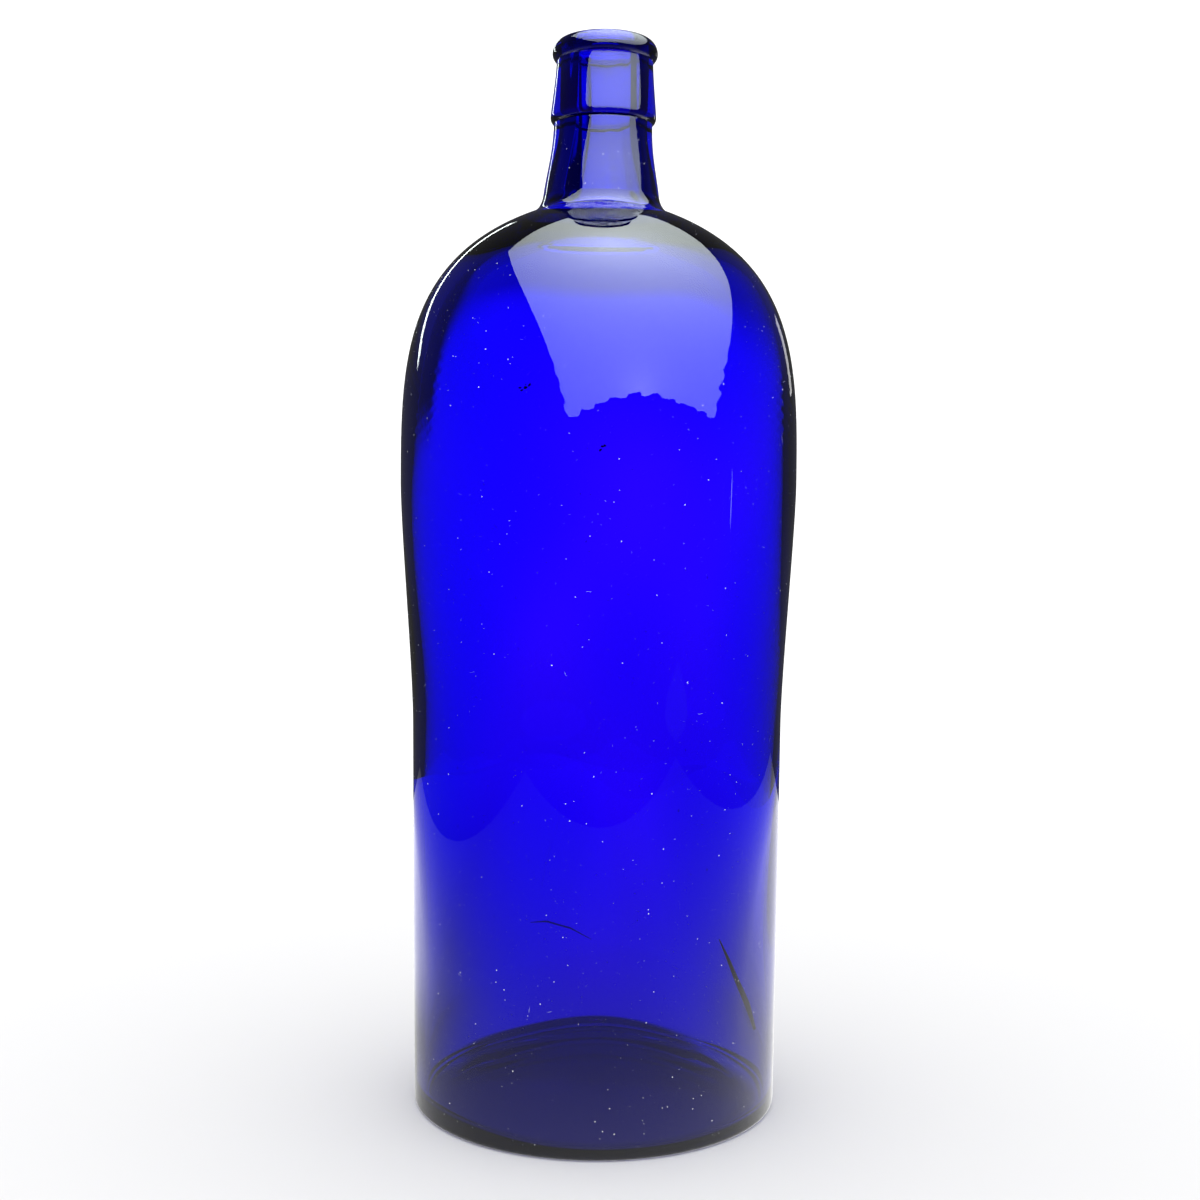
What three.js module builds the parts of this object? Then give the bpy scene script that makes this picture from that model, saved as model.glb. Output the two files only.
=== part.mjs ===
// Tall mouth-blown glass bottle: a blown body and the tooled finish laid round the end of its neck.
// Millimetres, +Z up. The origin is the centre of the circle that the bottle stands on.

import * as THREE from 'three';

// Driving dimensions: outside of the body
const BASE_RADIUS = 65.4;
const HEEL_RADIUS = 2;
const WAIST_RADIUS = 66.3;
const WAIST_HEIGHT = 138;
const BELLY_RADIUS = 70.7;
const BELLY_HEIGHT = 223;
const CROWN_RADIUS = 25;
const CROWN_HEIGHT = 318.6;
const CROWN_SLOPE = THREE.MathUtils.degToRad(21);
const NECK_FOOT_RADIUS = 20.6;
const NECK_FOOT_HEIGHT = 325;
const NECK_RADIUS = 17.5;
const NECK_TAPER_START = 350;
const NECK_END_RADIUS = 14.3;
const NECK_TAPER_END = 371;
const NECK_END_HEIGHT = 376;

// Driving dimensions: inside of the body
const WALL = 3.8;
const CROWN_WALL = 7;
const CROWN_THICK_FROM = 54;
const FLOOR = 4.5;
const FLOOR_CENTRE = 3.2;
const FLOOR_FILLET = 3;
const PUSH_UP_HEIGHT = 3;
const PUSH_UP_RADIUS = 54;
const BORE_RADIUS = 10;
const BORE_FOOT_RADIUS = 13;

// Driving dimensions: applied finish
const TOTAL_HEIGHT = 380;
const FINISH_BOTTOM = 350.5;
const RING_RADIUS = 18.75;
const RING_HEIGHT = 352.6;
const GROOVE_RADIUS = 17;
const LIP_RADIUS = 18.65;
const LIP_TOP_ROUND = 5.2;
const LIP_UNDER_ROUND = 3.2;
const RIM_EDGE_DROP = 2.2;
const UNDER_LIP_START_DEGREES = -58;

// Gap left between the two pieces of glass
const SEAM_GAP = 0.3;

// How far each curve's handles reach from its ends: they set how full the curve is
const WAIST_REACH = at(0.2, 20);
const BELLY_REACH_DOWN = at(-0.2, -18);
const BELLY_REACH_UP = at(0, 41);
const SHOULDER_REACH = 49;
const CROWN_REACH = 2.6;
const FOOT_REACH_DOWN = at(0.4, -3);
const FOOT_REACH_UP = at(-1, 8);
const NECK_REACH_DOWN = at(0, -10);

const SEGMENTS = 48;
const WELD = 0.001;

const glass = new THREE.MeshStandardMaterial({
  color: new THREE.Color(0.06, 0.01, 0.62),
  roughness: 0.04,
  metalness: 0,
  transparent: true,
  opacity: 0.72
});

function at(radius, height) {
  return new THREE.Vector2(radius, height);
}

function bend(start, startHandle, endHandle, end, steps) {
  return new THREE.CubicBezierCurve(start, startHandle, endHandle, end).getPoints(steps);
}

// A quarter round that leaves start towards the corner and reaches end from it.
function quarterRound(start, corner, end, steps) {
  const roundness = 0.5523;
  const startHandle = start.clone().lerp(corner, roundness);
  const endHandle = end.clone().lerp(corner, roundness);
  return bend(start, startHandle, endHandle, end, steps);
}

function arc(centre, radius, startDegrees, endDegrees, steps) {
  const start = THREE.MathUtils.degToRad(startDegrees);
  const end = THREE.MathUtils.degToRad(endDegrees);
  return new THREE.EllipseCurve(centre.x, centre.y, radius, radius, start, end).getPoints(steps);
}

// Joins stretches of outline end to end and turns them round the Z axis.
function turned(name, stretches) {
  const outline = [];
  for (const point of stretches.flat()) {
    const last = outline[outline.length - 1];
    if (!last || last.distanceTo(point) > WELD) {
      outline.push(point);
    }
  }
  const geometry = new THREE.LatheGeometry(outline, SEGMENTS);
  geometry.rotateX(Math.PI / 2);
  const mesh = new THREE.Mesh(geometry, glass);
  mesh.name = name;
  return mesh;
}

// A parabola from its top on the axis down to its foot.
function dome(height, foot, steps) {
  const topHandle = at(foot.x / 3, height);
  const footHandle = at(foot.x * 2 / 3, foot.y + (height - foot.y) * 2 / 3);
  return bend(at(0, height), topHandle, footHandle, foot, steps);
}

function plus(point, reach) {
  return point.clone().add(reach);
}

// The inside of the shoulder sinks away from the outside towards the crown, so the glass is thickest there.
function thickened(shoulder) {
  const crownRadius = shoulder[shoulder.length - 1].x;
  return shoulder.map((point) => {
    const nearness = THREE.MathUtils.smoothstep(-point.x, -CROWN_THICK_FROM, -crownRadius);
    return at(point.x, point.y - (CROWN_WALL - WALL) * nearness);
  });
}

// One face of the skin, from the waist over the belly and the domed shoulder to the foot of the neck.
// The inside face is the same run, set in by the thickness of the wall.
function sideAndShoulder(inset, neckFootRadius, neckRadius) {
  const waist = at(WAIST_RADIUS - inset, WAIST_HEIGHT);
  const belly = at(BELLY_RADIUS - inset, BELLY_HEIGHT);
  const shoulderEnd = at(CROWN_RADIUS - 0.5 * inset, CROWN_HEIGHT - inset);
  const foot = at(neckFootRadius, NECK_FOOT_HEIGHT);
  const neck = at(neckRadius, NECK_TAPER_START);
  const outAndDown = at(Math.cos(CROWN_SLOPE), -Math.sin(CROWN_SLOPE));
  const shoulderHandle = shoulderEnd.clone().addScaledVector(outAndDown, SHOULDER_REACH - inset);
  let shoulder = bend(belly, plus(belly, BELLY_REACH_UP), shoulderHandle, shoulderEnd, 12);
  if (inset > 0) {
    shoulder = thickened(shoulder);
  }
  const crown = shoulder[shoulder.length - 1];
  const crownHandle = crown.clone().addScaledVector(outAndDown, -CROWN_REACH);
  return [
    bend(waist, plus(waist, WAIST_REACH), plus(belly, BELLY_REACH_DOWN), belly, 5),
    shoulder,
    bend(crown, crownHandle, plus(foot, FOOT_REACH_DOWN), foot, 3),
    bend(foot, plus(foot, FOOT_REACH_UP), plus(neck, NECK_REACH_DOWN), neck, 4)
  ];
}

// The outside of the neck above its flare, which narrows under the finish.
function neckEndOutside() {
  return [
    at(NECK_RADIUS, NECK_TAPER_START),
    at(NECK_END_RADIUS, NECK_TAPER_END),
    at(NECK_END_RADIUS, NECK_END_HEIGHT)
  ];
}

function blownBody() {
  const heelFoot = at(BASE_RADIUS - HEEL_RADIUS, 0);
  const heelSide = at(BASE_RADIUS, HEEL_RADIUS);
  const underside = [
    dome(PUSH_UP_HEIGHT, at(PUSH_UP_RADIUS, 0), 5),
    quarterRound(heelFoot, at(BASE_RADIUS, 0), heelSide, 3)
  ];

  const insideRadius = BASE_RADIUS - WALL;
  const floorSide = at(insideRadius, FLOOR + FLOOR_FILLET);
  const floorEdge = at(insideRadius - FLOOR_FILLET, FLOOR);
  const floorTop = dome(PUSH_UP_HEIGHT + FLOOR_CENTRE, floorEdge, 5);
  const fillet = quarterRound(floorEdge, at(insideRadius, FLOOR), floorSide, 3);

  const outsideSkin = sideAndShoulder(0, NECK_FOOT_RADIUS, NECK_RADIUS);
  const insideSkin = sideAndShoulder(WALL, BORE_FOOT_RADIUS, BORE_RADIUS);
  const inside = [...floorTop, ...fillet, ...insideSkin.flat()];
  return turned('blown_body', [
    ...underside,
    ...outsideSkin,
    neckEndOutside(),
    [at(BORE_RADIUS, NECK_END_HEIGHT)],
    inside.reverse()
  ]);
}

// A closed ring: up the collar and over the lip, then back down along the neck that it is laid on.
function appliedFinish() {
  const [seatFoot, seatMiddle] = neckEndOutside().map((point) => at(point.x + SEAM_GAP, point.y));
  const seatTop = at(seatMiddle.x, NECK_END_HEIGHT + SEAM_GAP);
  const bottom = at(seatFoot.x, FINISH_BOTTOM);
  const ring = at(RING_RADIUS, RING_HEIGHT);
  const lipHeight = TOTAL_HEIGHT - LIP_TOP_ROUND;
  const underCentre = at(LIP_RADIUS - LIP_UNDER_ROUND, lipHeight);
  const topCentre = at(LIP_RADIUS - LIP_TOP_ROUND, lipHeight);
  const rimTop = at(topCentre.x, TOTAL_HEIGHT);
  const rimEdge = at(BORE_RADIUS, TOTAL_HEIGHT - RIM_EDGE_DROP);
  const groove = at(GROOVE_RADIUS, lipHeight - LIP_UNDER_ROUND);
  return turned('applied_finish', [
    quarterRound(bottom, at(RING_RADIUS, FINISH_BOTTOM), ring, 3),
    [groove],
    arc(underCentre, LIP_UNDER_ROUND, UNDER_LIP_START_DEGREES, 0, 4),
    arc(topCentre, LIP_TOP_ROUND, 0, 90, 7),
    quarterRound(rimTop, at(BORE_RADIUS, TOTAL_HEIGHT), rimEdge, 4),
    [at(BORE_RADIUS, seatTop.y), seatTop, seatMiddle, bottom]
  ]);
}

const bottle = new THREE.Group();
bottle.add(blownBody(), appliedFinish());

export default bottle;
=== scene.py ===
"""Looks of the cobalt-blue glass bottle: blown glass, seeds, dust, and the studio it stands in.

The studio is staged, not physically consistent: the floor, table, lamps and surroundings each show only
to some kinds of ray, and their shapes and strengths are set for the view from the front.
"""

import math

import bpy
import numpy as np
from mathutils import Matrix


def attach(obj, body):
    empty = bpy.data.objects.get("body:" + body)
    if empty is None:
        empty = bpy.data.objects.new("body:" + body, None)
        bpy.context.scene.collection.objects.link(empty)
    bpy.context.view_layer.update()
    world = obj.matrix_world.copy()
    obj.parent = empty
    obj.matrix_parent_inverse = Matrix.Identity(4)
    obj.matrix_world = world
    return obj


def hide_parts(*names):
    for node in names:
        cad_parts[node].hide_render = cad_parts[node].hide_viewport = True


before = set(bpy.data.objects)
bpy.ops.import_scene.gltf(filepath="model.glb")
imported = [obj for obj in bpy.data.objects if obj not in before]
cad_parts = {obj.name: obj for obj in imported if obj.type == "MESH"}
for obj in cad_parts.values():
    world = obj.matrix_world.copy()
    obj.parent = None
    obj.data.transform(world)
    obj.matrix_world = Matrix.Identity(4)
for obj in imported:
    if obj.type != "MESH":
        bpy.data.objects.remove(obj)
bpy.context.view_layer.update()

MM = 0.001
rng = np.random.default_rng(1870)

# Outside of the body, in millimetres from the axis and above the standing circle
BASE_RADIUS = 65.4
HEEL_RADIUS = 2
WAIST_RADIUS = 66.3
WAIST_HEIGHT = 138
BELLY_RADIUS = 70.7
BELLY_HEIGHT = 223
CROWN_RADIUS = 25
CROWN_HEIGHT = 318.6
CROWN_SLOPE = math.radians(21)
NECK_FOOT_RADIUS = 20.6
NECK_FOOT_HEIGHT = 325
NECK_RADIUS = 17.5
NECK_TAPER_START = 350
NECK_END_RADIUS = 14.3
NECK_TAPER_END = 371
NECK_END_HEIGHT = 376

# Inside of the body
WALL = 3.8
FLOOR = 4.5
FLOOR_FILLET = 3
FLOOR_CENTRE = 3.2
PUSH_UP_HEIGHT = 3
PUSH_UP_RADIUS = 54
CROWN_WALL = 7
CROWN_THICK_FROM = 54
BORE_RADIUS = 10
BORE_FOOT_RADIUS = 13

# Applied finish
TOTAL_HEIGHT = 380
FINISH_BOTTOM = 350.5
RING_RADIUS = 18.75
RING_HEIGHT = 352.6
GROOVE_RADIUS = 17
LIP_RADIUS = 18.65
LIP_TOP_ROUND = 5.2
LIP_UNDER_ROUND = 3.2
RIM_EDGE_DROP = 2.2
GROOVE_HEIGHT = 368
UNDER_LIP_START_DEGREES = -58

# How far each curve's handles reach from its ends, as radius and height: they set how full the curve is
WAIST_REACH = (0.2, 20)
BELLY_REACH_DOWN = (-0.2, -18)
BELLY_REACH_UP = (0, 41)
SHOULDER_REACH = 49
CROWN_REACH = 2.6
FOOT_REACH_DOWN = (0.4, -3)
FOOT_REACH_UP = (-1, 8)
NECK_REACH_DOWN = (0, -10)
RING_REACH_UP = 2

# Spacing of the points along the outlines, closer where a curve is tight or mirrors a lamp
SPACING = 1.5
SHOULDER_SPACING = 0.5
SHOULDER_SPACING_INSIDE = 1.0
NECK_SPACING_INSIDE = 0.8
ROUND_SPACING = 0.4
GROOVE_SPACING = 0.6
LIP_SPACING = 0.3
SEAT_SPACING = 1.0
WELD = 0.002
SEGMENTS = 256

# How the hand-blown bottle departs from a turned shape, in millimetres
NECK_LEAN = 1.15
CAVITY_SHIFT = 0.3
OUTSIDE_WAVE = 0.10
INSIDE_WAVE = 0.26
BORE_STREAKS = 0.3
CHILL_RIPPLE = 0.018
NECK_RIPPLE = 0.006
FLOOR_TILT = 2
FLOOR_BULGE = 2.2
FLOOR_BULGE_TOWARDS = math.radians(-140)
FLOOR_BULGE_NARROWNESS = 8
SEAM_LAP = 0.03

# The share of the inside's waves that is left at the heel, and the shares lost on the neck and in the bore
WAVE_LEFT_AT_HEEL = 0.3
WAVE_LOST_ON_NECK = 0.8
WAVE_LOST_IN_BORE = 0.75

# Nearer the axis than this radius the waves shrink towards nothing
WAVE_FULL_FROM_RADIUS = 20

# The two heights between which each departure comes in or goes out
ABOVE_HEEL = (4, 30)
UP_TO_NECK = (300, 325)
CHILL_STARTS = (232, 242)
CHILL_ENDS = (256, 272)
TOOLING_STARTS = (322, 328)
TOOLING_ENDS = (369, 373)
CAVITY_CENTRED = (255, 315)
ABOVE_FLOOR = (8, 40)
LEANING = (318, 385)
SEAT_TO_COLLAR = (GROOVE_RADIUS - 0.6, GROOVE_RADIUS - 0.2)

# Flaws and dirt: how many, their half sizes, and ranges of height, depth, twist and stretch
SEEDS = 60
SEED_SMALLEST = 0.10
SEED_SPREAD = 0.16
SEED_RARITY = 3
SEED_STRETCH = (1.0, 2.4)
SEED_HEIGHTS = (18, 290)
SEED_DEPTHS = (0.9, 2.6)
SEED_TWIST = 0.3
SEED_FLATNESS = 0.8
DUST_SPECKS = 3600
DUST_SMALLEST = 0.05
DUST_SPREAD = 0.17
DUST_RARITY = 6
DUST_STRETCH = (1, 1.8)
DUST_FLATNESS = 0.5
DUST_DEPTH = 0.02
DUST_BOTTOM = 3
DUST_RISE = 345
DUST_CROWDING_DOWN = 1.4
SCRATCHES = 42
SCRATCH_HALF_LENGTHS = (0.5, 1.7)
SCRATCH_HALF_WIDTH = 0.03
SCRATCH_HALF_DEPTH = 0.02
SCRATCH_HEIGHTS = (30, 290)

# The long scratch: azimuth, height, depth, twist and its three half sizes
LONG_SCRATCH = (math.radians(-52), 218, 0.0, math.pi / 2, 10.5, 0.035, 0.02)

# Grains of stone: ranges of half size and stretch, and how they are flattened, sunk, scattered and twisted
STONE_SIZES = (0.15, 0.38)
STONE_STRETCH = (1.2, 2.2)
STONE_FLATNESS = 0.7
STONE_DEPTH = 1.6
STONE_SCATTER = 0.4
STONE_TWIST = (0.3, 0.5)

# Where the dark flaws are, as azimuth from +X in degrees and height; stones also have spread and number
STONE_GROUPS = [(-89, 234.2, 1.2, 5), (-110, 253.6, 2.6, 7)]
LEVEL_STREAK = [(-109, 78.9), (-104, 79.7), (-97, 77.9), (-91, 74.4)]
LEVEL_STREAK_WIDTHS = [0.1, 0.3, 0.3, 0.1]
UPRIGHT_STREAK = [(-50, 70.7), (-46, 63.1), (-42, 55.2), (-36, 45.0), (-31, 34.8)]
UPRIGHT_STREAK_WIDTHS = [0.2, 0.8, 1.2, 1.7, 1.0]
STREAK_STEPS = 24
STREAK_SIDES = 8
STREAK_DEPTH = 1.7
STREAK_FLATNESS = 0.25

# A streak whose ends differ by less than this in height is level, so it is wide up the wall, not round it
STREAK_LEVEL = 10

# Absorption of cobalt glass in red, green and blue, per metre
ABSORPTION = (590.0, 1000.0, 28.0)
DENSITY_HEADROOM = 1.01
GLASS_IOR = 1.52

# The studio, in metres: a table, a large softbox overhead and two strip lamps behind
TABLE_DROP = -0.0005
TABLE_CORNERS = [
    (-0.52, -0.59, TABLE_DROP),
    (0.63, -0.59, TABLE_DROP),
    (0.63, 0.585, TABLE_DROP),
    (-0.52, 0.585, TABLE_DROP),
]
SOFTBOX_CORNERS = [
    (-0.24, -0.80, 0.325),
    (0.24, -0.607, 0.366),
    (0.76, -0.35, 0.325),
    (0.53, 0.10, 0.63),
    (0.21, 0.78, 1.06),
    (-0.40, 0.22, 0.90),
]
SOFTBOX_BASE_GLOW = 1.75
SOFTBOX_COLOUR = (0.91, 1.0, 0.98)

# Each bulb behind the softbox's cloth: its centre, how far its glow reaches and its strength
SOFTBOX_BULBS = [
    ((0.061, -0.082, 0.64), 0.27, 6.0),
    ((0.03, -0.06, 0.70), 0.05, 3.0),
    ((0.24, -0.60, 0.38), 0.10, 1.6),
]

LEFT_STRIP_CORNERS = [
    (-0.97, 0.887, 0.465),
    (-0.97, 0.887, 0.535),
    (-0.29, 1.12, 0.965),
    (-0.29, 1.12, 0.895),
]
RIGHT_STRIP_CORNERS = [
    (0.66, 1.14, 0.38),
    (0.77, 1.08, 0.38),
    (0.77, 1.08, 0.62),
    (0.66, 1.14, 0.62),
]
LEFT_STRIP_GLOW = 6.0
RIGHT_STRIP_GLOW = 1.3

# The pale floor, and how far out it starts and ends fading into the white
FLOOR_REACH = 0.62
FLOOR_FADE = (0.45, 0.6)
FLOOR_TONE = 0.8
DISC_SIDES = 96

# The table as the glass mirrors it: a bright place behind the bottle and a shaded one beside it
TABLE_BRIGHT_CENTRE = (0.06, 0.3, 0)
TABLE_BRIGHT_REACH = 0.36
TABLE_BRIGHT_FALL = 3.0
TABLE_BRIGHTEST = 1.35
TABLE_SHADED_CENTRE = (-0.09, 0.02, 0)
TABLE_SHADED_EDGE = (0.02, 0.16)
TABLE_SHADED_LEVEL = 0.62

# The table as it shows through the glass: dimmer near the bottle, shaded at its sides, behind and under it
SEEN_TABLE_REACH = 0.75
SEEN_TABLE_GLOW = 1.42
SEEN_TABLE_DIP = 1.08
SEEN_TABLE_DIP_REACH = 0.32
SIDE_SHADE_EDGE = (0.035, 0.1)
SIDE_SHADE_REACH = 0.1
SIDE_SHADE_DEEPEST = 0.8
SHADE_BEHIND_CENTRE = (-0.006, 0.033, 0)
SHADE_BEHIND_EDGE = (0.043, 0.053)
SHADE_UNDER_CENTRE = (-0.002, -0.010, 0)
SHADE_UNDER_EDGE = (0.058, 0.066)
SHADE_LEVEL = 0.16

# The surroundings by where a ray goes (its direction's Y or Z), and how bright they are there
WHITE_GLOW = 1.65
MIRRORED_FRONT_GLOW = 0.004
MIRRORED_BACK_GLOW = 0.08
INNER_MIRROR_RISE = (0.1, 0.28)
INNER_MIRROR_LOW_GLOW = 0.07
INNER_MIRROR_HIGH_GLOW = 0.25
BACKDROP_LOW_RISE = (-0.2, -0.02)
BACKDROP_LOW_GLOW = 1.5
BACKDROP_GLOW = 1.95
BACKDROP_HIGH_FALL = (0.12, 0.24)
BACKDROP_HIGH_SHARE = 0.47

# A dark stand behind to the left: its edges as degrees to the left of straight behind, and its soft foot
STAND_RIGHT_EDGE = (12, 16)
STAND_LEFT_EDGE = (30, 36)
STAND_FOOT = (0.02, 0.10)
STAND_DARKNESS = 0.94

# The camera: where it is in metres, its lens, and how far it looks down and rolls
CAMERA_PLACE = (0.00084, -0.6009, 0.2177)
CAMERA_LENS = 50
CAMERA_SENSOR_WIDTH = 36
CAMERA_TILT = math.radians(3.46)
CAMERA_ROLL = math.radians(0.48)


# ---------------------------------------------------------------- outlines


def ramp(value, start, end):
    """0 before start, 1 after end and a smooth rise between them."""
    t = np.clip((value - start) / (end - start), 0, 1)
    return t * t * (3 - 2 * t)


def bend(start, start_handle, end_handle, end, spacing=SPACING):
    """Points along a cubic curve, about spacing millimetres apart."""
    corners = np.array([start, start_handle, end_handle, end], float)
    reach = np.linalg.norm(np.diff(corners, axis=0), axis=1).sum()
    t = np.linspace(0, 1, max(2, math.ceil(reach / spacing)) + 1)[:, None]
    weights = np.hstack([(1 - t) ** 3, 3 * t * (1 - t) ** 2, 3 * t * t * (1 - t), t**3])
    return weights @ corners


def straight(start, end, spacing=SPACING):
    """Points along a straight line, about spacing millimetres apart."""
    start, end = np.array(start, float), np.array(end, float)
    steps = max(1, math.ceil(np.linalg.norm(end - start) / spacing))
    return start + (end - start) * np.linspace(0, 1, steps + 1)[:, None]


def quarter_round(start, corner, end, spacing=SPACING):
    """A quarter round that leaves start towards the corner and reaches end from it."""
    roundness = 0.5523
    start, corner, end = (np.array(p, float) for p in (start, corner, end))
    start_handle = start + (corner - start) * roundness
    end_handle = end + (corner - end) * roundness
    return bend(start, start_handle, end_handle, end, spacing)


def arc(centre, radius, start_degrees, end_degrees, spacing=SPACING):
    """Points along a circular arc."""
    sweep = math.radians(end_degrees - start_degrees)
    steps = max(4, math.ceil(abs(sweep) * radius / spacing))
    angles = math.radians(start_degrees) + sweep * np.linspace(0, 1, steps + 1)
    return np.column_stack([centre[0] + radius * np.cos(angles), centre[1] + radius * np.sin(angles)])


def dome(height, radius, foot):
    """A parabola from its top on the axis down to its foot."""
    top_handle = (radius / 3, height)
    foot_handle = (radius * 2 / 3, foot + (height - foot) * 2 / 3)
    return bend((0, height), top_handle, foot_handle, (radius, foot))


def joined(stretches):
    """One outline from stretches laid end to end, without the doubled points where they meet."""
    points = np.vstack(stretches)
    step = np.linalg.norm(np.diff(points, axis=0), axis=1)
    return points[np.concatenate([[True], step > WELD])]


def side_and_shoulder(inset, neck_foot_radius, neck_radius):
    """One face of the skin, from the waist over the belly and the domed shoulder to the neck."""
    waist = np.array([WAIST_RADIUS - inset, WAIST_HEIGHT])
    belly = np.array([BELLY_RADIUS - inset, BELLY_HEIGHT])
    crown = np.array([CROWN_RADIUS - inset / 2, CROWN_HEIGHT - inset])
    foot = np.array([neck_foot_radius, NECK_FOOT_HEIGHT])
    neck = np.array([neck_radius, NECK_TAPER_START])
    out_and_down = np.array([math.cos(CROWN_SLOPE), -math.sin(CROWN_SLOPE)])
    crown_handle = crown + out_and_down * (SHOULDER_REACH - inset)
    shoulder_spacing = SHOULDER_SPACING_INSIDE if inset else SHOULDER_SPACING
    neck_spacing = NECK_SPACING_INSIDE if inset else ROUND_SPACING
    shoulder = bend(belly, belly + BELLY_REACH_UP, crown_handle, crown, shoulder_spacing)
    if inset:
        sag = (CROWN_WALL - WALL) * ramp(-shoulder[:, 0], -CROWN_THICK_FROM, -shoulder[-1, 0])
        shoulder[:, 1] -= sag
        crown = shoulder[-1]
    return [
        bend(waist, waist + WAIST_REACH, belly + BELLY_REACH_DOWN, belly),
        shoulder,
        bend(crown, crown - out_and_down * CROWN_REACH, foot + FOOT_REACH_DOWN, foot, ROUND_SPACING),
        bend(foot, foot + FOOT_REACH_UP, neck + NECK_REACH_DOWN, neck, neck_spacing),
    ]


def body_outlines():
    """Outside and inside of the blown body, each from the axis to the end of the neck."""
    heel_foot = (BASE_RADIUS - HEEL_RADIUS, 0)
    heel_side = (BASE_RADIUS, HEEL_RADIUS)
    outside = [
        dome(PUSH_UP_HEIGHT, PUSH_UP_RADIUS, 0),
        straight((PUSH_UP_RADIUS, 0), heel_foot),
        quarter_round(heel_foot, (BASE_RADIUS, 0), heel_side, ROUND_SPACING),
        straight(heel_side, (WAIST_RADIUS, WAIST_HEIGHT)),
        *side_and_shoulder(0, NECK_FOOT_RADIUS, NECK_RADIUS),
        straight((NECK_RADIUS, NECK_TAPER_START), (NECK_END_RADIUS, NECK_TAPER_END)),
        straight((NECK_END_RADIUS, NECK_TAPER_END), (NECK_END_RADIUS, NECK_END_HEIGHT)),
    ]
    wall_inside = BASE_RADIUS - WALL
    floor_side = (wall_inside, FLOOR + FLOOR_FILLET)
    floor_edge = (wall_inside - FLOOR_FILLET, FLOOR)
    inside = [
        dome(PUSH_UP_HEIGHT + FLOOR_CENTRE, floor_edge[0], FLOOR),
        quarter_round(floor_edge, (wall_inside, FLOOR), floor_side, NECK_SPACING_INSIDE),
        straight(floor_side, (WAIST_RADIUS - WALL, WAIST_HEIGHT)),
        *side_and_shoulder(WALL, BORE_FOOT_RADIUS, BORE_RADIUS),
        straight((BORE_RADIUS, NECK_TAPER_START), (BORE_RADIUS, NECK_END_HEIGHT)),
    ]
    return joined(outside), joined(inside)


def finish_outline():
    """Closed outline of the finish: up the collar, over the lip, down the bore and back along the neck."""
    lip_height = TOTAL_HEIGHT - LIP_TOP_ROUND
    under_centre = (LIP_RADIUS - LIP_UNDER_ROUND, lip_height)
    top_centre = (LIP_RADIUS - LIP_TOP_ROUND, lip_height)
    seat_top = NECK_END_HEIGHT - SEAM_LAP
    seat = NECK_END_RADIUS - SEAM_LAP
    bottom = (NECK_RADIUS - SEAM_LAP, FINISH_BOTTOM)
    ring = (RING_RADIUS, RING_HEIGHT)
    ring_handle = (RING_RADIUS, RING_HEIGHT + RING_REACH_UP)
    groove = (GROOVE_RADIUS, GROOVE_HEIGHT)
    rim_top = (top_centre[0], TOTAL_HEIGHT)
    rim_edge = (BORE_RADIUS, TOTAL_HEIGHT - RIM_EDGE_DROP)
    under_lip = arc(under_centre, LIP_UNDER_ROUND, UNDER_LIP_START_DEGREES, 0, LIP_SPACING)
    return joined([
        quarter_round(bottom, (RING_RADIUS, FINISH_BOTTOM), ring, ROUND_SPACING),
        bend(ring, ring_handle, groove, under_lip[0], GROOVE_SPACING),
        under_lip,
        arc(top_centre, LIP_TOP_ROUND, 0, 90, LIP_SPACING),
        quarter_round(rim_top, (BORE_RADIUS, TOTAL_HEIGHT), rim_edge, LIP_SPACING),
        straight(rim_edge, (BORE_RADIUS, seat_top), ROUND_SPACING),
        straight((BORE_RADIUS, seat_top), (seat, seat_top)),
        straight((seat, seat_top), (seat, NECK_TAPER_END), SEAT_SPACING),
        straight((seat, NECK_TAPER_END), (NECK_RADIUS - SEAM_LAP, NECK_TAPER_START)),
    ])


# ---------------------------------------------------------------- hand-blown irregularity


def make_waves(count, lobes, lengths):
    """Random waves, each as its lobes round the bottle, its pitch along it and its two phases."""
    return [
        (rng.integers(*lobes), 2 * math.pi / rng.uniform(*lengths), *rng.uniform(0, 2 * math.pi, 2))
        for _ in range(count)
    ]


def sum_of(waves, azimuth, height):
    """The waves added up, about 1 at most."""
    total = sum(
        np.sin(lobes * azimuth + turn) * np.sin(pitch * height + shift)
        for lobes, pitch, turn, shift in waves
    )
    return total / math.sqrt(len(waves))


# Each set: how many waves, their lobes round the bottle and their lengths along it in millimetres
outside_waves = make_waves(7, (1, 5), (90, 260))
inside_waves = make_waves(12, (1, 8), (50, 220))
bore_streaks = make_waves(5, (9, 17), (60, 200))
chill_ripples = make_waves(9, (45, 100), (3, 7))
neck_ripples = make_waves(9, (5, 16), (1.6, 5))


def neck_ripple(azimuth, height):
    """The fine ripple that tooling leaves on the neck and the collar."""
    tooled = NECK_RIPPLE * ramp(height, *TOOLING_STARTS) * (1 - ramp(height, *TOOLING_ENDS))
    return tooled * sum_of(neck_ripples, azimuth, height)


def outside_departures(azimuth, radius, height):
    """How far the outside is swollen, moved towards +X and raised."""
    slow = OUTSIDE_WAVE * ramp(height, *ABOVE_HEEL) * (1 - WAVE_LOST_ON_NECK * ramp(height, *UP_TO_NECK))
    chilled = CHILL_RIPPLE * ramp(height, *CHILL_STARTS) * (1 - ramp(height, *CHILL_ENDS))
    swollen = slow * sum_of(outside_waves, azimuth, height)
    swollen = swollen + chilled * sum_of(chill_ripples, azimuth, height)
    return swollen + neck_ripple(azimuth, height), 0, 0


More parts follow.
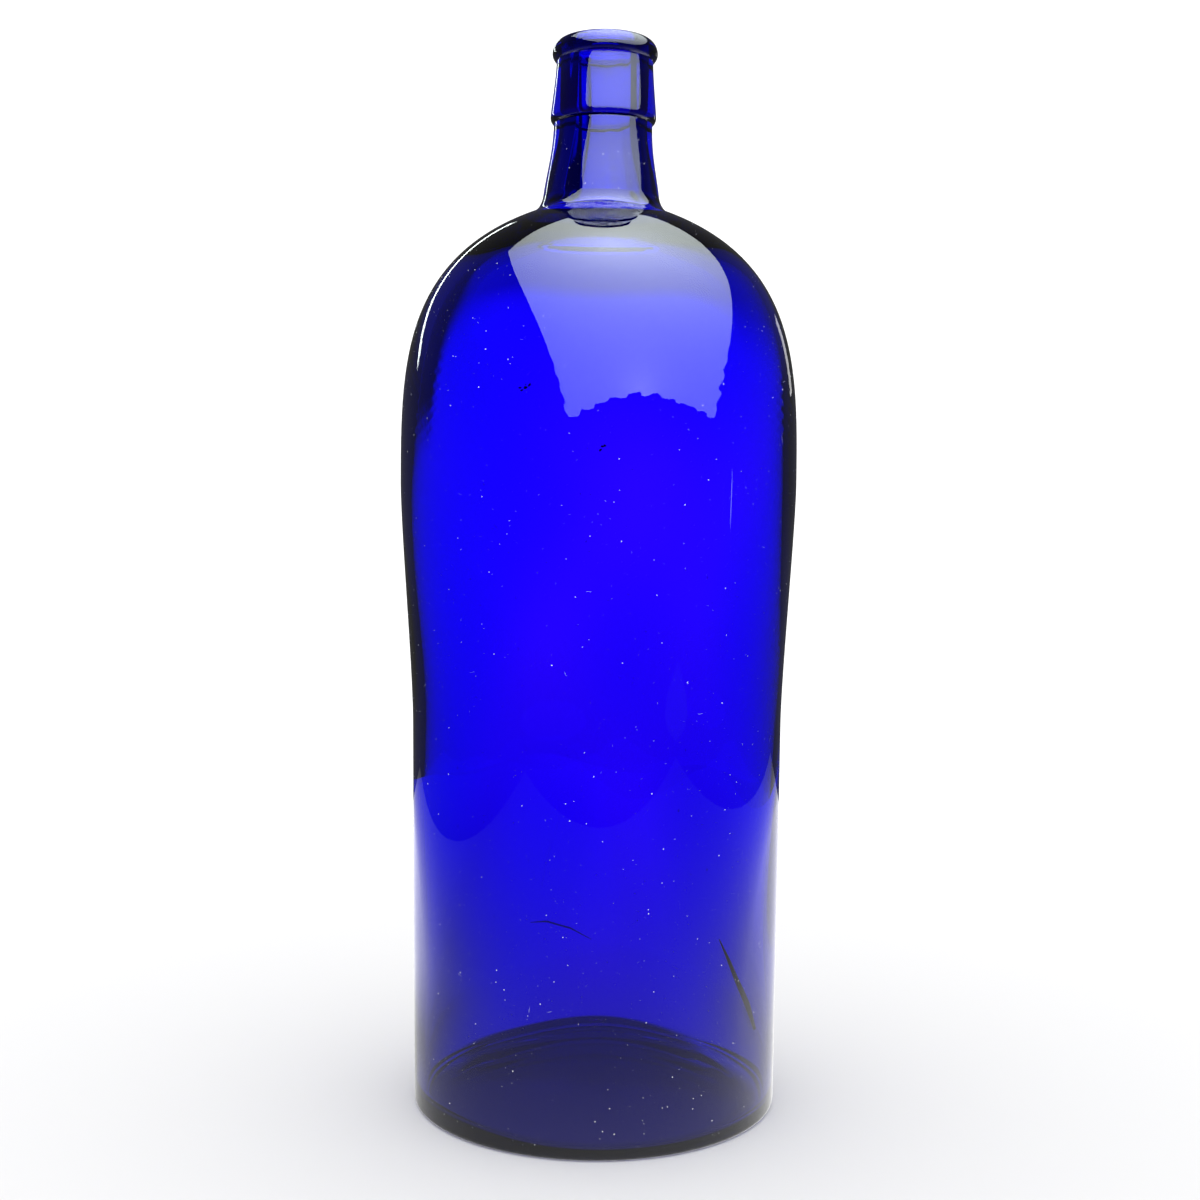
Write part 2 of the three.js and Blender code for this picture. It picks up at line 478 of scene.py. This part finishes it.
def inside_departures(azimuth, radius, height):
    """How far the inside is swollen, moved towards +X and raised."""
    neck = ramp(height, *UP_TO_NECK)
    above_heel = WAVE_LEFT_AT_HEEL + (1 - WAVE_LEFT_AT_HEEL) * ramp(height, *ABOVE_HEEL)
    slow = INSIDE_WAVE * above_heel * (1 - WAVE_LOST_IN_BORE * neck)
    swollen = slow * sum_of(inside_waves, azimuth, height)
    swollen = swollen + BORE_STREAKS * neck * sum_of(bore_streaks, azimuth, height)
    moved = CAVITY_SHIFT * (1 - ramp(height, *CAVITY_CENTRED))
    towards = np.maximum(0, np.cos(azimuth - FLOOR_BULGE_TOWARDS))
    bulge = FLOOR_BULGE * towards**FLOOR_BULGE_NARROWNESS
    out = radius / BASE_RADIUS
    raised = (FLOOR_TILT * np.sin(azimuth) + bulge * out) * out * (1 - ramp(height, *ABOVE_FLOOR))
    return swollen, moved, raised


def finish_departures(azimuth, radius, height):
    """The collar of the finish is rippled like the neck; its seat on the neck is not."""
    return neck_ripple(azimuth, height) * ramp(radius, *SEAT_TO_COLLAR), 0, 0


def lean(height):
    """How far the neck leans to the +X side."""
    return NECK_LEAN * ramp(height, *LEANING)


def turned(outline, closed, departures):
    """Points and faces for an outline turned round the axis, with what makes it hand-blown."""
    azimuth = np.arange(SEGMENTS) * 2 * math.pi / SEGMENTS
    radius, height = outline[:, :1], outline[:, 1:]
    swollen, moved, raised = departures(azimuth, radius, height)
    far = radius + swollen * np.minimum(1, radius / WAVE_FULL_FROM_RADIUS)
    x = far * np.cos(azimuth) + moved + lean(height)
    y = far * np.sin(azimuth)
    z = height + raised + 0 * azimuth
    points = np.stack([x, y, z], axis=-1).reshape(-1, 3) * MM
    rings = len(outline)
    last = rings if closed else rings - 1
    faces = []
    for ring in range(last):
        row = ring * SEGMENTS
        row_above = (ring + 1) % rings * SEGMENTS
        for k in range(SEGMENTS):
            n = (k + 1) % SEGMENTS
            faces.append((row + k, row + n, row_above + n, row_above + k))
    return points, faces


# ---------------------------------------------------------------- meshes


def add_mesh(name, points, faces, material, smooth=True):
    """A mesh object in the scene."""
    mesh = bpy.data.meshes.new(name)
    mesh.from_pydata([tuple(p) for p in points], [], faces)
    mesh.validate()
    mesh.update()
    mesh.polygons.foreach_set("use_smooth", [smooth] * len(mesh.polygons))
    mesh.materials.append(material)
    piece = bpy.data.objects.new(name, mesh)
    bpy.context.scene.collection.objects.link(piece)
    return piece


def blown_body(material):
    """An outside and an inside skin that meet at the end of the neck, with air bubbles between them."""
    outside, inside = body_outlines()
    outside_points, outside_faces = turned(outside[1:], False, outside_departures)
    inside_points, inside_faces = turned(inside[1:], False, inside_departures)
    rings_out, rings_in = len(outside) - 1, len(inside) - 1
    first = len(outside_points)
    points = np.vstack([
        outside_points,
        inside_points,
        [[0, 0, outside[0, 1] * MM]],
        [[CAVITY_SHIFT * MM, 0, inside[0, 1] * MM]],
    ])
    faces = list(outside_faces)
    faces += [tuple(first + k for k in reversed(face)) for face in inside_faces]
    under, floor_top = len(points) - 2, len(points) - 1
    top_out = (rings_out - 1) * SEGMENTS
    top_in = first + (rings_in - 1) * SEGMENTS
    for k in range(SEGMENTS):
        n = (k + 1) % SEGMENTS
        faces.append((under, n, k))
        faces.append((floor_top, first + k, first + n))
        faces.append((top_out + k, top_out + n, top_in + n, top_in + k))
    seed_points, seed_faces = seed_bubbles()
    faces += [tuple(len(points) + k for k in reversed(face)) for face in seed_faces]
    return add_mesh("glass_body", np.vstack([points, seed_points]), faces, material)


def unit_ball(rings, sides):
    """Points and faces of a ball of radius 1 with its poles on Z."""
    points = [(0.0, 0.0, 1.0)]
    for ring in range(1, rings):
        fall = math.pi * ring / rings
        turns = [2 * math.pi * k / sides for k in range(sides)]
        across, up = math.sin(fall), math.cos(fall)
        points += [(across * math.cos(t), across * math.sin(t), up) for t in turns]
    points.append((0.0, 0.0, -1.0))
    last = len(points) - 1
    faces = []
    for k in range(sides):
        n = (k + 1) % sides
        faces.append((0, 1 + k, 1 + n))
        faces.append((last, last - sides + n, last - sides + k))
        for ring in range(rings - 2):
            row = 1 + ring * sides
            faces.append((row + k, row + sides + k, row + sides + n, row + n))
    return np.array(points), faces


def outside_above_heel():
    """The outside of the body as radius and height, above its heel."""
    outline = body_outlines()[0]
    return outline[outline[:, 1] > HEEL_RADIUS]


def place_on_wall(side, azimuth, height, depth):
    """The point this deep in the wall, and the directions round, along and out of the wall there."""
    radius, above, below = np.interp([height, height + 1, height - 1], side[:, 1], side[:, 0])
    around = np.array([-math.sin(azimuth), math.cos(azimuth), 0])
    out = np.array([math.cos(azimuth), math.sin(azimuth), (below - above) / 2])
    out /= np.linalg.norm(out)
    along = np.cross(out, around)
    surface = np.array([radius * math.cos(azimuth) + lean(height), radius * math.sin(azimuth), height])
    return surface - out * depth, np.array([around, along, out])


def balls_on_wall(places, ball):
    """Points and faces of many balls; a place is azimuth, height, depth, twist and three half sizes."""
    shape, shape_faces = ball
    side = outside_above_heel()
    points, faces = [], []
    for azimuth, height, depth, twist, *half_sizes in places:
        centre, (around, along, out) = place_on_wall(side, azimuth, height, depth)
        turned_round = math.cos(twist) * around + math.sin(twist) * along
        turned_along = math.cos(twist) * along - math.sin(twist) * around
        first = len(points) * len(shape)
        points.append(centre + (shape * half_sizes) @ np.array([turned_round, turned_along, out]))
        faces += [tuple(first + k for k in face) for face in shape_faces]
    return np.vstack(points) * MM, faces


def mostly_small(smallest, spread, rarity):
    """A half size that is mostly near the smallest and seldom much larger."""
    return smallest + spread * rng.random() ** rarity


def seed_bubbles():
    """Small bubbles of air in the wall, drawn out a little along the bottle."""
    places = []
    for _ in range(SEEDS):
        size = mostly_small(SEED_SMALLEST, SEED_SPREAD, SEED_RARITY)
        stretch = rng.uniform(*SEED_STRETCH)
        azimuth = rng.uniform(0, 2 * math.pi)
        height = rng.uniform(*SEED_HEIGHTS)
        depth = rng.uniform(*SEED_DEPTHS)
        twist = rng.normal(0, SEED_TWIST)
        places.append((azimuth, height, depth, twist, size, size * stretch, size * SEED_FLATNESS))
    return balls_on_wall(places, unit_ball(6, 10))


def dust(material):
    """Specks of dust and salt that cling to the outside, more of them low down."""
    places = []
    for _ in range(DUST_SPECKS):
        size = mostly_small(DUST_SMALLEST, DUST_SPREAD, DUST_RARITY)
        azimuth = rng.uniform(0, 2 * math.pi)
        height = DUST_RISE * rng.random() ** DUST_CROWDING_DOWN + DUST_BOTTOM
        twist = rng.uniform(0, math.pi)
        long = size * rng.uniform(*DUST_STRETCH)
        places.append((azimuth, height, DUST_DEPTH, twist, long, size, size * DUST_FLATNESS))
    return add_mesh("dust_specks", *balls_on_wall(places, unit_ball(3, 5)), material, smooth=False)


def scratches(material):
    """Short pale hairlines left by handling, and one long upright one."""
    places = [LONG_SCRATCH]
    for _ in range(SCRATCHES):
        azimuth = rng.uniform(0, 2 * math.pi)
        height = rng.uniform(*SCRATCH_HEIGHTS)
        twist = rng.uniform(0, math.pi)
        half_length = rng.uniform(*SCRATCH_HALF_LENGTHS)
        places.append((azimuth, height, 0.0, twist, half_length, SCRATCH_HALF_WIDTH, SCRATCH_HALF_DEPTH))
    return add_mesh("fine_scratches", *balls_on_wall(places, unit_ball(6, 6)), material)


def stones(material):
    """Dark grains of unmelted stone in the wall, in a tight group and a looser one."""
    places = []
    for azimuth, height, spread, count in STONE_GROUPS:
        for _ in range(count):
            aside, up = rng.normal(0, STONE_SCATTER, 2) * spread
            size = rng.uniform(*STONE_SIZES)
            long = size * rng.uniform(*STONE_STRETCH)
            twist = rng.normal(*STONE_TWIST)
            turn = math.radians(azimuth) + aside / BELLY_RADIUS
            places.append((turn, height + up, STONE_DEPTH, twist, long, size, size * STONE_FLATNESS))
    return add_mesh("stone_grains", *balls_on_wall(places, unit_ball(5, 8)), material)


def streak(name, path, half_widths, material):
    """A thin dark sliver in the wall that follows a path of (azimuth in degrees, height)."""
    steps = np.linspace(0, 1, STREAK_STEPS)
    at = np.linspace(0, 1, len(path))
    azimuths = np.radians(np.interp(steps, at, [place[0] for place in path]))
    heights = np.interp(steps, at, [place[1] for place in path])
    widths = np.interp(steps, at, half_widths)
    level = abs(path[0][1] - path[-1][1]) < STREAK_LEVEL
    side = outside_above_heel()
    points = []
    for azimuth, height, width in zip(azimuths, heights, widths):
        centre, (around, along, out) = place_on_wall(side, azimuth, height, STREAK_DEPTH)
        across = (along if level else around) * width
        outward = out * STREAK_FLATNESS * width
        for k in range(STREAK_SIDES):
            t = 2 * math.pi * k / STREAK_SIDES
            points.append(centre + across * math.cos(t) + outward * math.sin(t))
    last_ring = len(points) - STREAK_SIDES
    faces = [tuple(range(STREAK_SIDES)), tuple(reversed(range(last_ring, len(points))))]
    for row in range(0, last_ring, STREAK_SIDES):
        row_next = row + STREAK_SIDES
        for k in range(STREAK_SIDES):
            n = (k + 1) % STREAK_SIDES
            faces.append((row + k, row_next + k, row_next + n, row + n))
    return add_mesh(name, np.array(points) * MM, faces, material)


def applied_finish(material):
    """The finish: a closed ring of glass."""
    points, faces = turned(finish_outline(), True, finish_departures)
    return add_mesh("glass_finish", points, faces, material)


# ---------------------------------------------------------------- materials


def new_material(name):
    """An empty node material and its output."""
    material = bpy.data.materials.new(name)
    material.use_nodes = True
    material.node_tree.nodes.clear()
    output = material.node_tree.nodes.new("ShaderNodeOutputMaterial")
    return material, material.node_tree, output


def cobalt_glass(name):
    """Clear glass that swallows red and green along the light's way through it."""
    material, tree, output = new_material(name)
    surface = tree.nodes.new("ShaderNodeBsdfPrincipled")
    surface.inputs["Base Color"].default_value = (1, 1, 1, 1)
    surface.inputs["Roughness"].default_value = 0.0
    surface.inputs["IOR"].default_value = GLASS_IOR
    surface.inputs["Transmission Weight"].default_value = 1.0
    tree.links.new(surface.outputs["BSDF"], output.inputs["Surface"])
    density = max(ABSORPTION) * DENSITY_HEADROOM
    volume = tree.nodes.new("ShaderNodeVolumeAbsorption")
    volume.inputs["Color"].default_value = (*(1 - k / density for k in ABSORPTION), 1)
    volume.inputs["Density"].default_value = density
    tree.links.new(volume.outputs["Volume"], output.inputs["Volume"])
    return material


def mottled(name, dark, pale, scale, roughness):
    """A matt material that wavers between two tones."""
    material, tree, output = new_material(name)
    surface = tree.nodes.new("ShaderNodeBsdfPrincipled")
    noise = tree.nodes.new("ShaderNodeTexNoise")
    noise.inputs["Scale"].default_value = scale
    noise.inputs["Detail"].default_value = 3
    mix = tree.nodes.new("ShaderNodeMix")
    mix.data_type = "RGBA"
    mix.inputs[6].default_value = (*dark, 1)
    mix.inputs[7].default_value = (*pale, 1)
    tree.links.new(noise.outputs["Fac"], mix.inputs[0])
    tree.links.new(mix.outputs[2], surface.inputs["Base Color"])
    surface.inputs["Roughness"].default_value = roughness
    tree.links.new(surface.outputs["BSDF"], output.inputs["Surface"])
    return material


def chalky_dust():
    """Pale grey dust and salt."""
    return mottled("chalky_dust", (0.55, 0.57, 0.60), (0.9, 0.92, 0.95), scale=900, roughness=0.8)


def crushed_glass():
    """The pale bottom of a scratch, with some of the blue round it."""
    return mottled("crushed_glass", (0.42, 0.44, 0.62), (0.75, 0.77, 0.9), scale=600, roughness=0.5)


def cord_painted_dark():
    """A cord in the wall, drawn as an opaque dark-blue sliver: its darkness is painted shade, standing in
    for the dark line the cord makes by bending light.
    """
    return mottled("cord_painted_dark", (0.01, 0.01, 0.30), (0.02, 0.02, 0.42), scale=300, roughness=0.5)


def unmelted_stone():
    """Nearly black stone."""
    return mottled("unmelted_stone", (0.004, 0.004, 0.006), (0.02, 0.018, 0.016), scale=1500, roughness=0.6)


def feed(tree, socket, value):
    """Gives an input socket a number or the value of another socket."""
    if isinstance(value, (int, float)):
        socket.default_value = value
    else:
        tree.links.new(value, socket)


def math_node(tree, operation, *values):
    """A maths node whose inputs are sockets or numbers."""
    node = tree.nodes.new("ShaderNodeMath")
    node.operation = operation
    for socket, value in zip(node.inputs, values):
        feed(tree, socket, value)
    return node.outputs[0]


def product(tree, *values):
    """All the values multiplied together."""
    total = values[0]
    for value in values[1:]:
        total = math_node(tree, "MULTIPLY", total, value)
    return total


def parts_of(tree, vector):
    """The X, Y and Z outputs of a vector."""
    parts = tree.nodes.new("ShaderNodeSeparateXYZ")
    tree.links.new(vector, parts.inputs[0])
    return parts.outputs


def distance_from(tree, centre):
    """How far the shaded point is from centre, in metres."""
    position = tree.nodes.new("ShaderNodeNewGeometry").outputs["Position"]
    offset = tree.nodes.new("ShaderNodeVectorMath")
    offset.operation = "DISTANCE"
    offset.inputs[1].default_value = centre
    tree.links.new(position, offset.inputs[0])
    return offset.outputs["Value"]


def smooth_step(tree, value, start, end, low=0.0, high=1.0):
    """Low before start, high after end and a smooth change between them."""
    node = tree.nodes.new("ShaderNodeMapRange")
    node.interpolation_type = "SMOOTHSTEP"
    for name, number in zip(("From Min", "From Max", "To Min", "To Max"), (start, end, low, high)):
        node.inputs[name].default_value = number
    tree.links.new(value, node.inputs["Value"])
    return node.outputs["Result"]


def glowing(name, strength, colour=(1.0, 1.0, 1.0)):
    """A material that glows as strongly as strength says: a number, or a function of the node tree."""
    material, tree, output = new_material(name)
    glow = tree.nodes.new("ShaderNodeEmission")
    glow.inputs["Color"].default_value = (*colour, 1)
    feed(tree, glow.inputs["Strength"], strength(tree) if callable(strength) else strength)
    tree.links.new(glow.outputs["Emission"], output.inputs["Surface"])
    return material


def softbox_glow(tree):
    """Brightest where the bulbs are behind the cloth, falling off round each of them."""
    total = SOFTBOX_BASE_GLOW
    for centre, reach, strength in SOFTBOX_BULBS:
        away = math_node(tree, "DIVIDE", distance_from(tree, centre), reach)
        fall = math_node(tree, "ADD", math_node(tree, "MULTIPLY", away, away), 1.0)
        total = math_node(tree, "ADD", math_node(tree, "DIVIDE", strength, fall), total)
    return total


def table_glow(tree):
    """The table as the glass mirrors it: brightest behind the bottle and dim at its near edge."""
    away = distance_from(tree, TABLE_BRIGHT_CENTRE)
    nearness = math_node(tree, "DIVIDE", TABLE_BRIGHT_REACH, away)
    lit = math_node(tree, "MINIMUM", math_node(tree, "POWER", nearness, TABLE_BRIGHT_FALL), TABLE_BRIGHTEST)
    from_shade = distance_from(tree, TABLE_SHADED_CENTRE)
    in_shade = smooth_step(tree, from_shade, *TABLE_SHADED_EDGE, TABLE_SHADED_LEVEL, 1.0)
    return product(tree, lit, in_shade)


def shade_round(tree, centre, edge):
    """A round of contact shade with a soft edge between two radii."""
    return smooth_step(tree, distance_from(tree, centre), *edge, SHADE_LEVEL, 1.0)


def table_behind_glow(tree):
    """The table top as it shows through the glass: lit further off, in shade beside and under the bottle."""
    away = distance_from(tree, (0, 0, 0))
    fading = math_node(tree, "EXPONENT", math_node(tree, "DIVIDE", away, -SEEN_TABLE_DIP_REACH))
    lit = math_node(tree, "SUBTRACT", SEEN_TABLE_GLOW, product(tree, fading, SEEN_TABLE_DIP))
    across = parts_of(tree, tree.nodes.new("ShaderNodeNewGeometry").outputs["Position"])["X"]
    aside = smooth_step(tree, math_node(tree, "ABSOLUTE", across), *SIDE_SHADE_EDGE)
    nearness = math_node(tree, "DIVIDE", SIDE_SHADE_REACH, away)
    depth_of_shade = math_node(tree, "MINIMUM", nearness, SIDE_SHADE_DEEPEST)
    beside = math_node(tree, "SUBTRACT", 1.0, product(tree, depth_of_shade, aside))
    behind = shade_round(tree, SHADE_BEHIND_CENTRE, SHADE_BEHIND_EDGE)
    under = shade_round(tree, SHADE_UNDER_CENTRE, SHADE_UNDER_EDGE)
    contact = math_node(tree, "MINIMUM", behind, under)
    return product(tree, lit, beside, contact)


def pale_floor(name):
    """Pale matt floor that ends softly in the white studio."""
    material, tree, output = new_material(name)
    cloth = tree.nodes.new("ShaderNodeBsdfDiffuse")
    cloth.inputs["Color"].default_value = (FLOOR_TONE, FLOOR_TONE, FLOOR_TONE, 1)
    clear = tree.nodes.new("ShaderNodeBsdfTransparent")
    mix = tree.nodes.new("ShaderNodeMixShader")
    tree.links.new(smooth_step(tree, distance_from(tree, (0, 0, 0)), *FLOOR_FADE), mix.inputs["Fac"])
    tree.links.new(cloth.outputs["BSDF"], mix.inputs[1])
    tree.links.new(clear.outputs["BSDF"], mix.inputs[2])
    tree.links.new(mix.outputs["Shader"], output.inputs["Surface"])
    return material


# ---------------------------------------------------------------- studio


def show_only(thing, *rays):
    """Lets only these kinds of ray see a thing of the studio."""
    for kind in ("camera", "diffuse", "glossy", "transmission", "volume_scatter", "shadow"):
        setattr(thing, "visible_" + kind, kind in rays)


def disc(name, radius, height, material):
    """A flat round sheet that faces up."""
    angles = np.arange(DISC_SIDES) * 2 * math.pi / DISC_SIDES
    points = [(radius * math.cos(a), radius * math.sin(a), height) for a in angles]
    return add_mesh(name, points, [tuple(range(DISC_SIDES))], material, smooth=False)


def panel(name, corners, material):
    """A flat glowing panel of any outline, which only shows as a reflection."""
    centre = np.mean(corners, axis=0)
    count = len(corners)
    faces = [(k, (k + 1) % count, count) for k in range(count)]
    thing = add_mesh(name, [*corners, tuple(centre)], faces, material, smooth=False)
    show_only(thing, "glossy")
    return thing


def build_studio():
    """A floor for the camera, a table for the glass, and the lamps, which show only as reflections."""
    floor = disc("floor", FLOOR_REACH, 0.0, pale_floor("pale_floor"))
    show_only(floor, "camera")
    table_behind = glowing("table_behind", table_behind_glow)
    table = disc("table_through_glass", SEEN_TABLE_REACH, TABLE_DROP, table_behind)
    show_only(table, "transmission")
    mirrored_table = panel("mirrored_table", TABLE_CORNERS, glowing("lit_table", table_glow))
    softbox_cloth = glowing("softbox_cloth", softbox_glow, SOFTBOX_COLOUR)
    softbox = panel("softbox", SOFTBOX_CORNERS, softbox_cloth)
    left_cloth = glowing("left_strip_cloth", LEFT_STRIP_GLOW, SOFTBOX_COLOUR)
    left_strip = panel("left_strip_lamp", LEFT_STRIP_CORNERS, left_cloth)
    right_cloth = glowing("right_strip_cloth", RIGHT_STRIP_GLOW)
    right_strip = panel("right_strip_lamp", RIGHT_STRIP_CORNERS, right_cloth)


def choose(tree, condition, otherwise, then):
    """One value where the condition is 0, the other where it is 1."""
    mix = tree.nodes.new("ShaderNodeMix")
    mix.data_type = "FLOAT"
    feed(tree, mix.inputs[0], condition)
    feed(tree, mix.inputs[2], otherwise)
    feed(tree, mix.inputs[3], then)
    return mix.outputs[0]


def soft_edge(tree, angle, edge_degrees, low=0.0, high=1.0):
    """A smooth change between two angles given in degrees."""
    start, end = (math.radians(degrees) for degrees in edge_degrees)
    return smooth_step(tree, angle, start, end, low, high)


def backdrop_glow(tree, direction):
    """What shows behind through the glass: bright, dimmer low down and high up, with a dark stand."""
    x, y, z = (direction[axis] for axis in "XYZ")
    leftward = math_node(tree, "ARCTAN2", product(tree, x, -1.0), y)
    stand_starts = soft_edge(tree, leftward, STAND_RIGHT_EDGE)
    stand_ends = soft_edge(tree, leftward, STAND_LEFT_EDGE, 1.0, 0.0)
    stand_height = smooth_step(tree, z, *STAND_FOOT, 0.0, STAND_DARKNESS)
    beside_stand = math_node(tree, "SUBTRACT", 1.0, product(tree, stand_starts, stand_ends, stand_height))
    rising = smooth_step(tree, z, *BACKDROP_LOW_RISE, BACKDROP_LOW_GLOW, BACKDROP_GLOW)
    falling = smooth_step(tree, z, *BACKDROP_HIGH_FALL, 1.0, BACKDROP_HIGH_SHARE)
    return product(tree, rising, falling, beside_stand)


def build_world():
    """White surroundings, which the glass mirrors as dark and shows as bright."""
    world = bpy.data.worlds.new("studio")
    world.use_nodes = True
    tree = world.node_tree
    tree.nodes.clear()
    output = tree.nodes.new("ShaderNodeOutputWorld")
    path = tree.nodes.new("ShaderNodeLightPath")
    direction = parts_of(tree, tree.nodes.new("ShaderNodeTexCoord").outputs["Generated"])
    background = tree.nodes.new("ShaderNodeBackground")
    mirrored = math_node(tree, "GREATER_THAN", path.outputs["Glossy Depth"], 0.5)
    through = math_node(tree, "GREATER_THAN", path.outputs["Transmission Depth"], 0.5)
    front_to_back = smooth_step(tree, direction["Y"], -1.0, 1.0, MIRRORED_FRONT_GLOW, MIRRORED_BACK_GLOW)
    inner_glows = (INNER_MIRROR_LOW_GLOW, INNER_MIRROR_HIGH_GLOW)
    low_to_high = smooth_step(tree, direction["Z"], *INNER_MIRROR_RISE, *inner_glows)
    seen_through = choose(tree, mirrored, backdrop_glow(tree, direction), low_to_high)
    seen_directly = choose(tree, mirrored, WHITE_GLOW, front_to_back)
    feed(tree, background.inputs["Strength"], choose(tree, through, seen_directly, seen_through))
    tree.links.new(background.outputs["Background"], output.inputs["Surface"])
    world.cycles.sampling_method = "NONE"
    bpy.context.scene.world = world


def build_camera():
    """The camera stands in front, a little above the middle of the bottle, and looks slightly down."""
    camera_data = bpy.data.cameras.new("camera")
    camera_data.lens = CAMERA_LENS
    camera_data.sensor_width = CAMERA_SENSOR_WIDTH
    camera = bpy.data.objects.new("camera", camera_data)
    camera.matrix_world = (
        Matrix.Translation(CAMERA_PLACE)
        @ Matrix.Rotation(math.radians(90) - CAMERA_TILT, 4, "X")
        @ Matrix.Rotation(CAMERA_ROLL, 4, "Z")
    )
    bpy.context.scene.collection.objects.link(camera)
    bpy.context.scene.camera = camera


def build_bottle():
    """Every piece of the bottle, riding on the frame."""
    body = blown_body(cobalt_glass("body_glass"))
    finish = applied_finish(cobalt_glass("finish_glass"))
    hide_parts("blown_body")
    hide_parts("applied_finish")
    stone = unmelted_stone()
    pieces = [
        body,
        finish,
        dust(chalky_dust()),
        scratches(crushed_glass()),
        stones(stone),
        # The level streak's dark blue is painted shade for the line a cord shows by bending light
        streak("level_streak", LEVEL_STREAK, LEVEL_STREAK_WIDTHS, cord_painted_dark()),
        streak("upright_streak", UPRIGHT_STREAK, UPRIGHT_STREAK_WIDTHS, stone),
    ]
    for piece in pieces:
        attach(piece, "root")


build_bottle()
build_studio()
build_world()
build_camera()

scene = bpy.context.scene
scene.view_settings.view_transform = "Standard"
scene.cycles.max_bounces = 40
scene.cycles.transmission_bounces = 32
scene.cycles.glossy_bounces = 24
scene.cycles.transparent_max_bounces = 16
